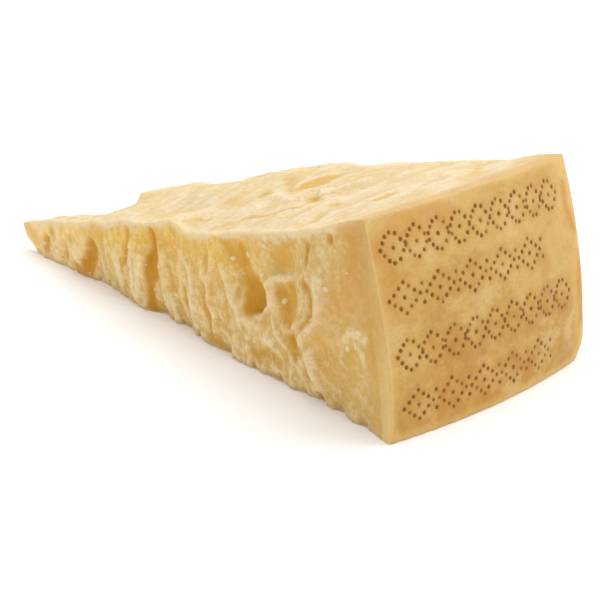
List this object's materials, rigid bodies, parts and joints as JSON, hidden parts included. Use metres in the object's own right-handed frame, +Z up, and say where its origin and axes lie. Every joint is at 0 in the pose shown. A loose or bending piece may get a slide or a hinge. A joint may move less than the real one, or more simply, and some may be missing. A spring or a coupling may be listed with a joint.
{
  "type": "parmesan chunk",
  "caption": "Wedge of hard grana cheese with a curved rind, broken craggy sides and top, and a flat cut underside that it stands on.",
  "frame": {"origin": "middle of the bounding box in plan, on the flat underside", "axes": "+Z up, +X from the point to the rind, the broken front side faces -Y"},
  "size_m": [0.2168, 0.0866, 0.0595],
  "materials": {
    "cheese": "satin, grainy paste with a waxy golden rind"
  },
  "bodies": {
    "root": {"cheese_chunk": "cheese"}
  },
  "joints": []
}
